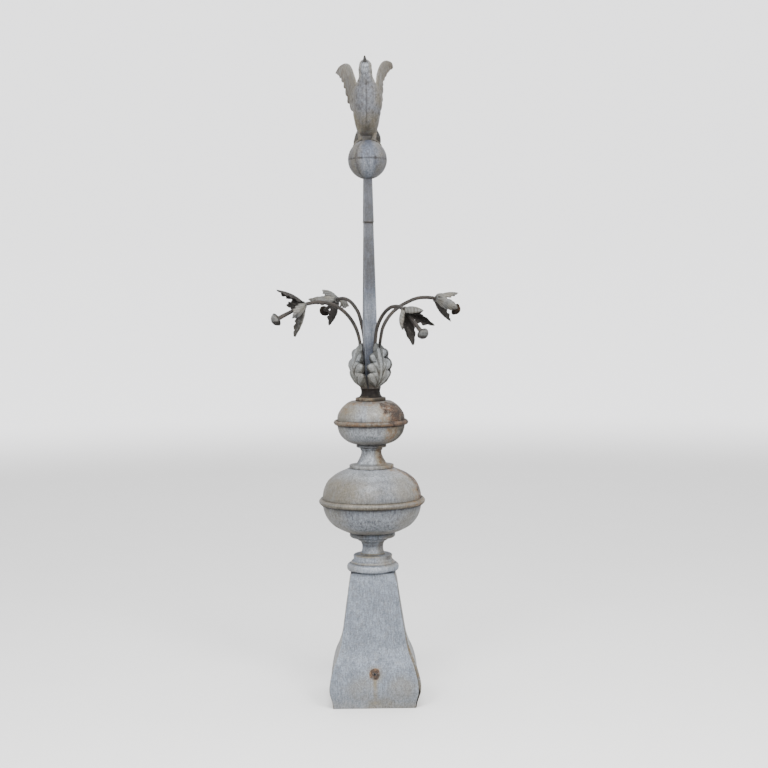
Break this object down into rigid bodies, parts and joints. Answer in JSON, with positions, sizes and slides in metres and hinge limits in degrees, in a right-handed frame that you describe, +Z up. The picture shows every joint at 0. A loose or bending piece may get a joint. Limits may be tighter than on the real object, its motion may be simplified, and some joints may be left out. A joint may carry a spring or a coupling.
{
  "type": "roof finial",
  "caption": "Weathered sheet zinc roof finial: square flared foot, beaded bulbs, leafy calyx with curved flower stems, tapered shaft, ball and a bird with raised wings.",
  "frame": {"origin": "on the centre line of the finial, at the underside of the base", "axes": "+Z up the shaft; -Y is the front, the way the bird faces; +X is the viewer's right"},
  "size_m": [0.485, 0.4595, 1.6477],
  "materials": {
    "zinc_grey": "weathered zinc sheet, bluish grey with fine mottling",
    "zinc_brown": "weathered zinc with a brown-grey bloom",
    "zinc_pale": "weathered zinc, pale grey outside and dark inside the folds",
    "rusted_zinc": "rust-stained metal, orange brown",
    "dark_zinc": "blackened metal, dull",
    "rusted_iron": "brown rusted iron rod, matt"
  },
  "bodies": {
    "root": {"base": "zinc_grey", "foot_moulding": "zinc_grey", "lower_neck": "zinc_grey", "big_bulb_lower": "zinc_grey", "big_bulb_upper": "zinc_grey", "big_bulb_bead": "zinc_brown", "middle_neck": "zinc_brown", "small_bulb_lower": "zinc_grey", "small_bulb_upper": "zinc_grey", "small_bulb_bead": "zinc_brown", "top_ring": "rusted_zinc", "calyx_socket": "dark_zinc", "calyx_leaf_a": "zinc_grey", "calyx_leaf_b": "zinc_grey", "calyx_leaf_c": "zinc_grey", "calyx_leaf_d": "zinc_grey", "shaft_lower": "zinc_grey", "shaft_upper": "zinc_grey", "ball_lower": "zinc_grey", "ball_upper": "zinc_grey", "bird": "zinc_brown", "stem_a": "rusted_iron", "rosette_a": "zinc_pale", "bud_a": "dark_zinc", "stem_b": "rusted_iron", "rosette_b": "zinc_pale", "bud_b": "dark_zinc", "stem_c": "rusted_iron", "rosette_c": "zinc_pale", "bud_c": "dark_zinc", "stem_d": "rusted_iron", "rosette_d": "zinc_pale", "bud_d": "dark_zinc"}
  },
  "joints": []
}
